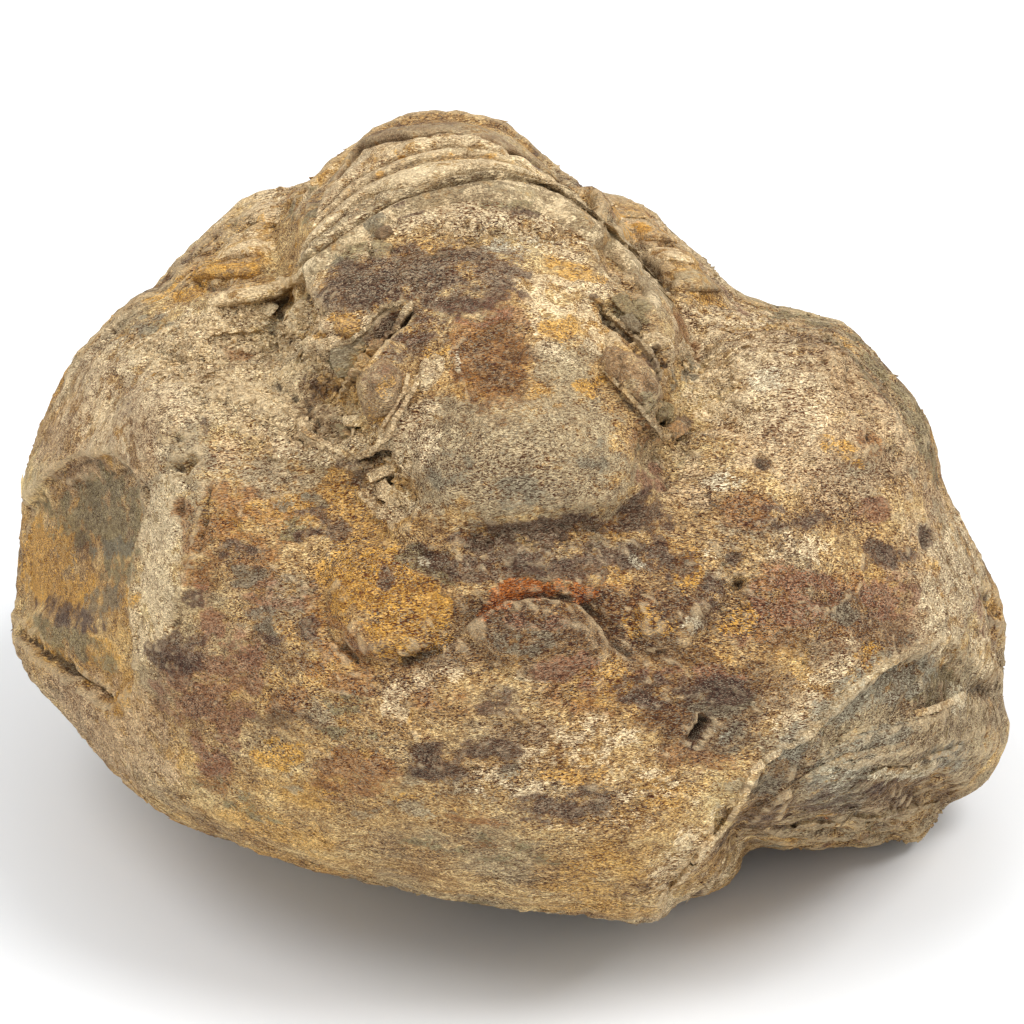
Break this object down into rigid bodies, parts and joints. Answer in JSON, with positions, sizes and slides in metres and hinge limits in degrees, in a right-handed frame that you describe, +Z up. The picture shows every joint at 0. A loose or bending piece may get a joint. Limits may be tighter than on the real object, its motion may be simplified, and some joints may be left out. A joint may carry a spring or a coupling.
{
  "type": "trilobite fossil",
  "caption": "Rounded fossil trilobite in its stone, with a raised middle lobe, cheeks, a ringed back, and broken faces at the left and lower right.",
  "frame": {"origin": "on the ground under the middle of the piece", "axes": "+Y from the head to the tail, +Z up, +X to the right of a viewer who faces the head"},
  "size_m": [0.0496, 0.056, 0.0358],
  "materials": {
    "fossil_stone": "matt, rough limestone, ochre with brown, rust and grey stains"
  },
  "bodies": {
    "root": {"fossil_stone": "fossil_stone"}
  },
  "joints": []
}
